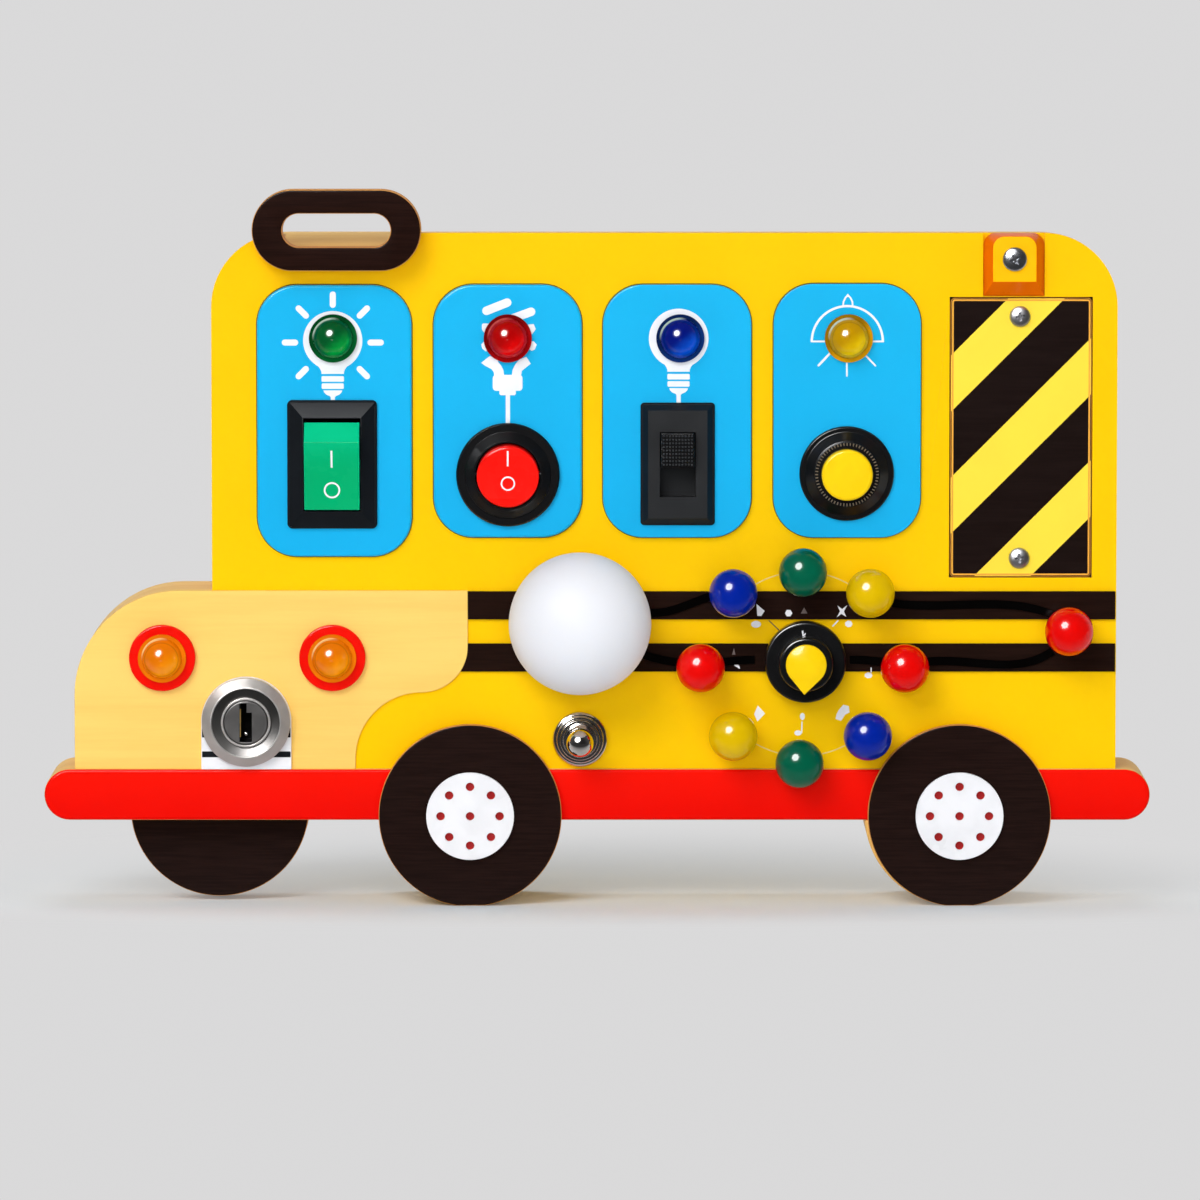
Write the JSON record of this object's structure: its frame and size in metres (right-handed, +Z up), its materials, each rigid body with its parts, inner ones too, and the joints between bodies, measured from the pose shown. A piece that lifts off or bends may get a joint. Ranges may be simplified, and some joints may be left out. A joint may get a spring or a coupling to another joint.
{
  "type": "busy board",
  "caption": "Wooden bus-shaped busy board: a box on thick wheels whose painted front carries rocker, slide, push, toggle, rotary and key switches with lamps.",
  "frame": {"origin": "middle of the footprint, on the surface the board stands on", "axes": "+X along the board's length towards the rear of the bus, -Y out of the painted front, +Z up"},
  "size_m": [0.3, 0.0632, 0.1943],
  "materials": {
    "yellow_paint": "satin paint on plywood",
    "natural_wood": "bare sanded wood",
    "hood_wood": "clear-coated plywood",
    "red_paint": "satin paint on the face, bare ends",
    "dark_wood": "dark stained face, bare edges",
    "stripe_wood": "dark stained veneer",
    "blue_paint": "satin paint, white line prints",
    "white_plastic": "satin",
    "frosted_white": "frosted, translucent",
    "hub_red": "satin",
    "black_plastic": "fine satin",
    "green_plastic": "gloss",
    "red_plastic": "gloss",
    "yellow_plastic": "satin",
    "orange_plastic": "gloss",
    "lens_green": "clear tinted",
    "lens_red": "clear tinted",
    "lens_blue": "clear tinted",
    "lens_yellow": "clear tinted",
    "lens_amber": "clear tinted",
    "ball_blue": "high gloss",
    "ball_green": "high gloss",
    "ball_yellow": "high gloss",
    "ball_red": "high gloss",
    "hazard_print": "black and yellow diagonals",
    "steel": "brushed",
    "chrome": "polished",
    "brass": "plain",
    "cell_jacket": "plain wrapped cell",
    "circuit_board": "solder mask",
    "black_lead": "satin jacket",
    "clear_led": "clear"
  },
  "bodies": {
    "board": {"box_frame": "natural_wood", "back_panel": "natural_wood", "back_screws": "steel", "front_panel": "yellow_paint", "hood_face": "hood_wood", "bumper": "red_paint", "wheel_left": "dark_wood", "wheel_right": "dark_wood", "foot_blocks": "natural_wood", "half_wheel": "dark_wood", "hub_backings": "hub_red", "hub_caps": "white_plastic", "window_rocker": "blue_paint", "window_round": "blue_paint", "window_slide": "blue_paint", "window_push": "blue_paint", "side_stripes": "stripe_wood", "lamp_lead": "black_lead", "lens_green": "lens_green", "lens_red": "lens_red", "lens_blue": "lens_blue", "lens_yellow": "lens_yellow", "lens_amber": "lens_amber", "headlight_rings": "red_plastic", "lamp_bulbs": "clear_led", "balls_blue": "ball_blue", "balls_green": "ball_green", "balls_yellow": "ball_yellow", "balls_red": "ball_red", "globe": "frosted_white", "globe_base": "white_plastic", "rocker_housing": "black_plastic", "round_housing": "black_plastic", "slide_housing": "black_plastic", "push_housing": "black_plastic", "push_spring": "steel", "panel_nuts": "steel", "toggle_switch": "chrome", "toggle_nut": "chrome", "grille_plate": "white_plastic", "lock_body": "steel", "rotary_switch": "steel", "battery_tray": "black_plastic", "battery_cells": "cell_jacket", "battery_contacts": "chrome", "battery_cover": "hazard_print", "cover_screws": "steel", "handle": "dark_wood", "latch_block": "orange_plastic", "latch_screw": "steel", "control_board": "circuit_board"},
    "green_rocker": {"rocker_button": "green_plastic"},
    "red_rocker": {"round_button": "red_plastic"},
    "slide_knob": {"slide_knob": "black_plastic"},
    "push_cap": {"push_cap": "yellow_plastic"},
    "rotary_knob": {"rotary_knob": "black_plastic", "rotary_shaft": "brass", "knob_pointer": "yellow_plastic"},
    "toggle_lever": {"toggle_lever": "chrome"},
    "lock_plug": {"lock_plug": "steel"}
  },
  "joints": [
    {"name": "green_rocker_tilt", "type": "hinge", "parent": "board", "child": "green_rocker", "pos_m": [-0.0716, -0.0004, 0.1198], "axis": [1, 0, 0], "range_deg": [-28, 0]},
    {"name": "red_rocker_tilt", "type": "hinge", "parent": "board", "child": "red_rocker", "pos_m": [-0.0241, -0.0015, 0.117], "axis": [1, 0, 0], "range_deg": [-10, 0]},
    {"name": "slide_travel", "type": "slide", "parent": "board", "child": "slide_knob", "axis": [0, 0, -1], "range_m": [0, 0.008]},
    {"name": "push_press", "type": "slide", "parent": "board", "child": "push_cap", "axis": [0, 1, 0], "range_m": [0, 0.0025], "stiffness_N_per_m": 300, "springref_m": -0.001, "deforming": ["push_spring"]},
    {"name": "knob_turn", "type": "hinge", "parent": "board", "child": "rotary_knob", "pos_m": [0.0564, 0.0016, 0.0664], "axis": [0, 1, 0], "range_deg": [-135, 180]},
    {"name": "toggle_throw", "type": "hinge", "parent": "board", "child": "toggle_lever", "pos_m": [-0.0046, 0.0014, 0.045], "axis": [0, 0, 1], "range_deg": [-14, 14]},
    {"name": "key_turn", "type": "hinge", "parent": "board", "child": "lock_plug", "pos_m": [-0.0951, 0.0016, 0.0499], "axis": [0, 1, 0], "range_deg": [0, 90]}
  ]
}
